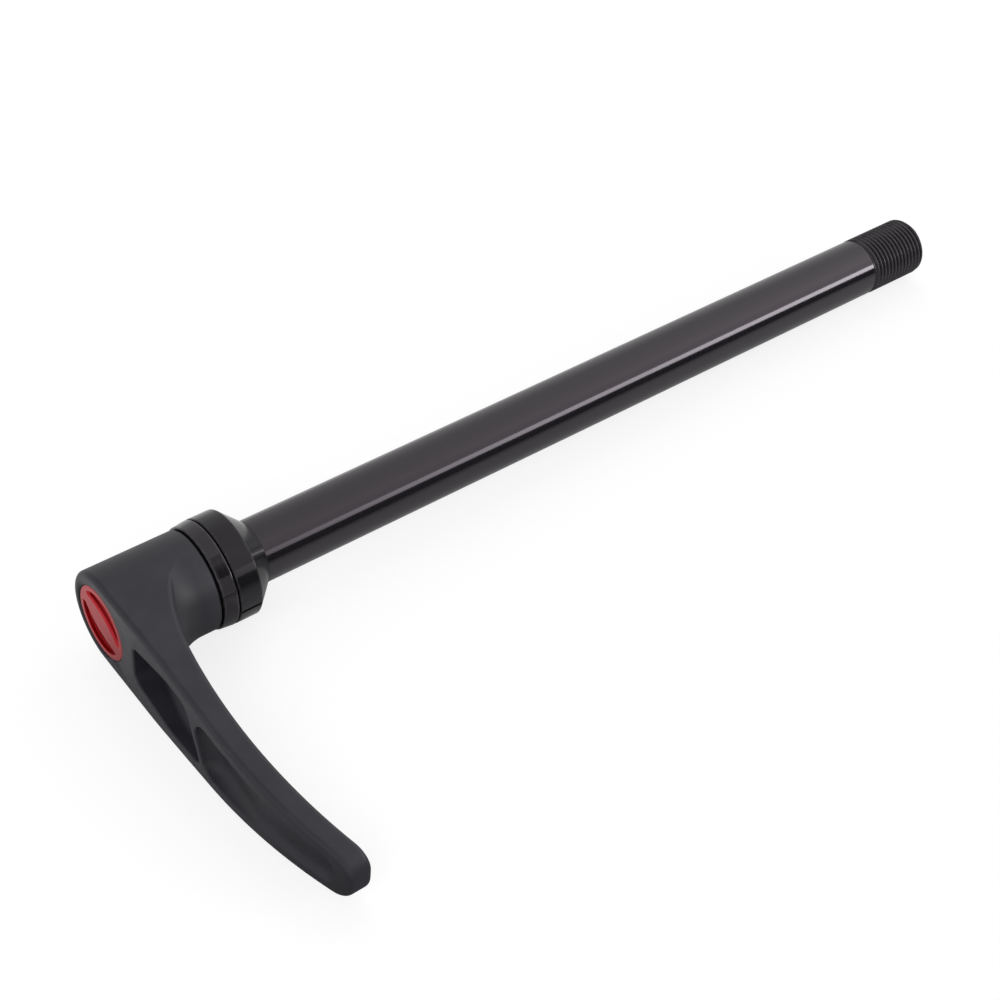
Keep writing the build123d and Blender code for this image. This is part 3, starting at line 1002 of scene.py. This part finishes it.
        # Scuffing and a painted edge highlight fade from the rim down the recess walls.
        worn_and_lit = np.exp(-((depth.mean(axis=1) / self.rim_round) ** 2))
        walls = [Surface.from_grid(self.placed(sign * wall, depth), True, worn_and_lit).flipped() for sign in (1.0, -1.0)]
        edge = np.vstack(columns)
        angles = np.unwrap(np.arctan2(edge[:, 1], edge[:, 0])) + np.radians(self.bar_angle)
        return Surface.joined(*walls, *flats), angles

    @staticmethod
    def edges(ring: np.ndarray, half: int) -> tuple[np.ndarray, np.ndarray]:
        """Part a crescent's outline into its outer and its inner edge, both from the right horn to the left."""
        return ring[:half], np.vstack([ring[half - 1 :], ring[:1]])[::-1]

    def on_edge(self, flat: np.ndarray) -> np.ndarray:
        """Points on the circle where the cap's rounded edge starts, at the angles of the given ones."""
        return flat / np.linalg.norm(flat, axis=-1, keepdims=True) * (self.radius - self.edge)

    def surface(self) -> Surface:
        """Join the head to the line of the cap's edge, seat and screw, carried round the axis.

        Returns:
            The surface.
        """
        head, angles = self.head()
        corners = [
            (self.face, self.radius - self.edge, 0.0),
            (self.face, self.radius, self.edge_round),
            (self.seat, self.radius, self.seat_rounds[0]),
            (self.seat, self.screw_radius, self.seat_rounds[1]),
            (self.screw_end - self.screw_chamfer, self.screw_radius, self.screw_round),
            (self.screw_end, self.screw_radius - self.screw_chamfer, self.screw_round),
            (self.screw_end, 0.0, 0.0),
        ]
        return Surface.joined(head, Profile.rounded(corners).revolved(angles))


@dataclass(frozen=True)
class Lever(Piece):
    """Moulded lever: a welded copy of its solid's mesh, the source, with smooth normals."""

    source: bpy.types.Object
    crisp_angle: float = 32.0
    weld: float = 0.001
    even_weight: int = 60

    def shape(self) -> bpy.types.Object:
        """Weld and smooth the lever.

        Returns:
            The object.
        """
        mesh = bpy.data.meshes.new(self.name)
        work = bmesh.new()
        work.from_mesh(self.source.data)
        bmesh.ops.remove_doubles(work, verts=work.verts, dist=self.weld * MM)
        work.to_mesh(mesh)
        work.free()
        mesh.materials.clear()
        mesh.shade_smooth()
        mesh.set_sharp_from_angle(angle=np.radians(self.crisp_angle))
        piece = linked(self.name, mesh)
        even = piece.modifiers.new("even_normals", "WEIGHTED_NORMAL")
        even.keep_sharp = True
        even.weight = self.even_weight
        return piece


@dataclass(frozen=True)
class ReturnSpring(Piece):
    """Coil spring round the stem, between the cap and the washer."""

    start: float = -27.15
    end: float = -19.15
    coil_radius: float = 5.4
    wire_radius: float = 0.4
    turns: float = 3.4
    seat: float = -27.6
    lifted_share: float = 0.43
    rows: int = 169
    columns: int = 12

    def surface(self) -> Surface:
        """Carry the wire's circle along a helix, whose angle grows evenly with the station.

        The circle is drawn with the direction away from the axis and the one square to that and to the helix.

        Returns:
            The wire with its two ends.
        """
        share = np.linspace(0, 1, self.rows)[:, None]
        sweep = 2 * np.pi * self.turns
        angle, flat = sweep * share, np.zeros_like(share)
        radial = around_axis(0.0, np.ones_like(share), angle)
        rise = (self.end - self.start) / (sweep * self.coil_radius)
        forward = np.stack([flat + rise, -np.sin(angle), np.cos(angle)], axis=-1) / np.hypot(1, rise)
        around = np.linspace(0, 2 * np.pi, self.columns, endpoint=False)[:, None]
        circle = radial * np.cos(around) + np.cross(forward, radial) * np.sin(around)
        station = np.stack([self.start + (self.end - self.start) * share, flat, flat], axis=-1)
        grid = station + self.coil_radius * radial + self.wire_radius * circle
        first, last = Surface.from_fan(grid[0]).flipped(), Surface.from_fan(grid[-1])
        return Surface.joined(Surface.from_grid(grid, True), first, last)

    def build(self, finish: Finish, effects: Effects) -> bpy.types.Object:
        """Build the spring, and give it a mesh of its own.

        Args:
            finish: Its finish.
            effects: The shared node groups.

        Returns:
            The piece.
        """
        piece = super().build(finish, effects)
        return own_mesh(piece)


# ---- Studio ------------------------------------------------------------------------------------------


def seen_directly(nodes: Nodes) -> tuple[Socket, Socket]:
    """1 for camera rays, and 1 for mirror and transmission rays; 0 for rays that light matte surfaces."""
    path = nodes.add("ShaderNodeLightPath").outputs
    return path["Is Camera Ray"], nodes.math("MAXIMUM", path["Is Glossy Ray"], path["Is Transmission Ray"])


@dataclass(frozen=True)
class Panel:
    """A studio panel along X, bent to a section, which the camera itself doesn't see."""

    name: str
    reach: Pair
    section: tuple[Pair, ...]
    strength: Pair = (0.0, 0.0)
    heights: Pair | None = None
    rear_share: Pair = (1.0, 1.0)
    rear_reach: Pair = (400.0, 1100.0)
    lights_matte: bool = False
    card_paint: Triple = (0.004, 0.004, 0.004)

    def light(self, nodes: Nodes) -> Socket | float:
        """Strength of the panel's light.

        It changes evenly along X, or between two heights where these are given, and falls from the panel's front
        to its rear to a share of that, which changes along X too.

        Args:
            nodes: The means to place nodes.

        Returns:
            The strength, as a number where it is the same all over.
        """
        if self.strength[0] == self.strength[1]:
            return self.strength[0]
        _, along, depth, height = nodes.place()
        place, limits = (along, self.reach) if self.heights is None else (height, self.heights)
        strength = nodes.ranged(place, metres(limits), self.strength, "LINEAR")
        if min(self.rear_share) < 1.0:
            front_to_rear = (min(self.section)[0], max(self.section)[0])
            share = nodes.ranged(along, metres(self.rear_reach), self.rear_share)
            fall = nodes.ranged(depth, metres(front_to_rear), (1.0, share))
            strength = nodes.math("MULTIPLY", strength, fall)
        return strength

    def build(self) -> None:
        """Build the panel: its section in Y and Z, carried along X. A panel without light is a black card."""
        section = np.array(self.section)[:, None, :]
        grid = np.stack(np.broadcast_arrays(np.array(self.reach), section[..., 0], section[..., 1]), axis=-1)
        panel = Surface.from_grid(grid, False).to_object(self.name)
        made, nodes = new_material(self.name)
        if max(self.strength) > 0:
            nodes.show(nodes.add("ShaderNodeEmission", {"Strength": self.light(nodes)}))
        else:
            nodes.show(nodes.add("ShaderNodeBsdfDiffuse", {"Color": opaque(self.card_paint)}))
        panel.data.materials.append(made)
        panel.visible_camera = False
        panel.visible_diffuse = self.lights_matte
        panel.visible_shadow = self.lights_matte


@dataclass(frozen=True)
class Lamp:
    """A square soft lamp: its side and its place in metres, and its power in watts."""

    name: str
    side: float
    power: float
    place: Triple

    def build(self) -> None:
        """Hang the lamp so that it faces the middle of the scene. It doesn't show in mirrors."""
        data = bpy.data.lights.new(self.name, "AREA")
        data.shape, data.size, data.energy = "SQUARE", self.side, self.power
        lamp = linked(self.name, data)
        turn = Vector(self.place).to_track_quat("Z", "Y")
        lamp.matrix_world = Matrix.Translation(self.place) @ turn.to_matrix().to_4x4()
        lamp.visible_glossy = False


@dataclass(frozen=True)
class TableTop:
    """White table on which the axle rests, with its own light for the camera and for mirrors.

    To the camera it shows its paint in part inside an ellipse round the axle, and glows beyond that and at its
    front edge.
    In mirrors it glows behind the axle as painted light, and shows painted shade in front of it and below the
    flange.
    """

    height: float = -9.853
    slope: float = 0.0235
    ends: Pair = (-600.0, 900.0)
    front: float = -85.0
    back: float = 700.0
    front_fade: float = -62.0
    paint: Triple = (0.86, 0.86, 0.86)
    glow: float = 1.12
    ellipse_middle: Pair = (75.2, -20.0)
    ellipse_halves: Pair = (160.0, 100.0)
    ellipse_fade: Pair = (0.75, 1.5)
    ellipse_glow: float = 0.72
    mirror_glow: Pair = (0.5, 0.05)
    mirror_reach: Pair = (20.0, 170.0)
    mirror_depth: Pair = (0.0, 20.0)
    mirror_front_glow: float = 0.05
    shade_depth: Pair = (-75.0, -18.0)
    front_shade: float = 0.85
    near_shade: float = 0.14
    flange_shade: float = 0.55
    flange_rise: Pair = (-14.0, -12.0)
    flange_fall: Pair = (-6.5, -4.5)

    def material(self) -> bpy.types.Material:
        """Build the table's material.

        Returns:
            The material.
        """
        made, nodes = new_material("white_table")
        place, along, depth, _ = nodes.place()
        by_camera, by_mirror = seen_directly(nodes)
        middle, halves = np.array(self.ellipse_middle), np.array(self.ellipse_halves)
        flat = {"Vector": place, "Location": (*(-middle / halves), 0.0), "Scale": (*(1 / (halves * MM)), 0.0)}
        centred = nodes.add("ShaderNodeMapping", flat).outputs[0]
        distance = nodes.add("ShaderNodeVectorMath", {0: centred}, operation="LENGTH").outputs["Value"]
        round_axle = nodes.ranged(distance, self.ellipse_fade, (self.ellipse_glow, 1.0))
        front = nodes.ranged(depth, metres((self.front, self.front_fade)), (1.0, 0.0))
        to_camera = nodes.math("MULTIPLY", nodes.math("MAXIMUM", round_axle, front), by_camera)
        # Painted light in mirrors: the table glows most behind the axle at its -X end, less towards +X, and
        # little in front.
        behind = nodes.ranged(along, metres(self.mirror_reach), self.mirror_glow)
        to_mirror = nodes.ranged(depth, metres(self.mirror_depth), (self.mirror_front_glow, behind))
        white = nodes.math("MULTIPLY_ADD", by_mirror, to_mirror, to_camera)
        # Painted shade in mirrors: the paint darkens strongly far in front of the axle, a little near it, and
        # more below the flange.
        past = nodes.ranged(along, metres(self.flange_fall), (self.flange_shade, self.near_shade))
        near = nodes.ranged(along, metres(self.flange_rise), (self.near_shade, past))
        shade = nodes.ranged(depth, metres(self.shade_depth), (self.front_shade, near))
        colour = nodes.mixed(nodes.math("MULTIPLY", shade, by_mirror), opaque(self.paint), BLACK)
        paint = nodes.add("ShaderNodeBsdfDiffuse", {"Color": colour})
        glow = nodes.add("ShaderNodeEmission", {"Strength": self.glow})
        nodes.show(nodes.add("ShaderNodeMixShader", {0: white, 1: paint.outputs[0], 2: glow.outputs[0]}))
        return made

    def build(self) -> None:
        """Build the table top: a plane, whose height is the base plus the slope times X."""
        x, y = np.array(self.ends), np.array([self.front, self.back])[:, None]
        grid = np.stack(np.broadcast_arrays(x, y, self.height + self.slope * x), axis=-1)
        table = Surface.from_grid(grid, False).flipped().to_object("table_top")
        table.data.materials.append(self.material())


LAMPS = (
    Lamp("overhead_soft_lamp", 0.9, 2.6, (0.45, 0.45, 0.75)),
    Lamp("key_soft_lamp", 0.6, 4.0, (-0.7, -0.5, 0.75)),
    Lamp("rear_soft_lamp", 0.6, 2.2, (0.1, 0.95, 0.4)),
    Lamp("front_soft_lamp", 0.6, 1.6, (0.5, -0.85, 0.25)),
)
PANELS = (
    Panel(
        "strip_light",
        reach=(235.0, 1100.0),
        section=((-600.0, 165.0), (-600.0, 335.0)),
        strength=(1.5, 15.5),
        lights_matte=True,
    ),
    Panel("far_strip_light", (1400.0, 2300.0), section=((-590.0, 245.0), (-590.0, 400.0)), strength=(7.0, 9.0)),
    Panel(
        "shaded_card",
        reach=(40.0, 150.0),
        section=((-595.0, 290.0), (-595.0, 890.0), (-300.0, 890.0)),
        strength=(0.0, 0.35),
        heights=(480.0, 890.0),
    ),
    Panel("grey_card", (40.0, 125.0), section=((-595.0, -80.0), (-595.0, 285.0)), strength=(0.46, 0.46)),
    Panel("dark_card", (100.0, 1400.0), section=((-600.0, -260.0), (-600.0, 150.0))),
    Panel(
        "light_tent",
        reach=(-700.0, 2400.0),
        section=((-600.0, 335.0), (-600.0, 900.0), (900.0, 900.0), (900.0, -60.0)),
        strength=(0.1, 2.8),
        rear_share=(0.75, 0.5),
    ),
)


@dataclass(frozen=True)
class Studio:
    """White table, surroundings, lamps, panels and the camera at the photograph's view."""

    camera_place: Triple = (-125.80, -217.45, 239.11)
    camera_right: Triple = (0.78945, -0.61249, 0.04016)
    camera_up: Triple = (0.38771, 0.54830, 0.74097)
    camera_back: Triple = (-0.47587, -0.56940, 0.67032)
    lens: float = 70.83
    sensor: float = 36.0
    clip: Pair = (10.0, 20000.0)
    sky_light: float = 0.4

    def camera(self) -> None:
        """Place the camera by the directions of its axes."""
        data = bpy.data.cameras.new("photo_camera")
        data.lens, data.sensor_width = self.lens, self.sensor
        data.clip_start, data.clip_end = metres(self.clip)
        camera = linked("photo_camera", data)
        axes = np.eye(4)
        axes[:3, 0], axes[:3, 1], axes[:3, 2] = self.camera_right, self.camera_up, self.camera_back
        axes[:3, 3] = np.array(self.camera_place) * MM
        camera.matrix_world = Matrix(axes.tolist())
        bpy.context.scene.camera = camera

    def sky(self) -> None:
        """White surroundings: full white where they are seen, softer where they light."""
        world = bpy.data.worlds.new("white_surroundings")
        world.use_nodes = True
        nodes = Nodes(world.node_tree)
        backdrop = world.node_tree.nodes["Background"]
        nodes.feed(backdrop, {"Color": WHITE})
        light = nodes.add("ShaderNodeBackground", {"Color": WHITE, "Strength": self.sky_light})
        seen = nodes.math("MAXIMUM", *seen_directly(nodes))
        mix = nodes.add("ShaderNodeMixShader", {0: seen, 1: light.outputs[0], 2: backdrop.outputs[0]})
        nodes.feed(world.node_tree.nodes["World Output"], {"Surface": mix.outputs[0]})
        bpy.context.scene.world = world

    def build(self) -> None:
        """Build the whole studio."""
        self.camera()
        TableTop().build()
        self.sky()
        for light in (*LAMPS, *PANELS):
            light.build()
        bpy.context.scene.view_settings.view_transform = "Standard"


def main() -> None:
    """Load the frame, and build every piece and the studio."""
    logging.basicConfig(level=logging.INFO, format="%(name)s: %(message)s")
    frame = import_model()
    effects = Effects()
    Axle("turned_axle", "axle", Body.AXLE).build(BLACK_ANODISED, effects)
    ConeRing("split_cone_ring", "cone_ring", Body.CONE_RING).build(RING_ANODISED, effects)
    CapScrew("red_cap_screw", "cap_screw", Body.AXLE).build(RED_ANODISED, effects)
    Lever("moulded_lever", "lever", Body.LEVER, frame["nodes"]["lever"]).build(LEVER_MOULDING, effects)
    ReturnSpring("coil_spring", "return_spring", Body.AXLE).build(SPRING_STEEL, effects)
    for node, finish in {"ratchet_insert": INSERT_STEEL, "thrust_washer": WASHER_STEEL}.items():
        mesh = frame["nodes"][node].data
        mesh.materials.clear()
        mesh.materials.append(finish.material(effects))
        LOG.info("%s: solid kept, finish %s", node, finish.name)
    Studio().build()


if __name__ == "__main__":
    main()
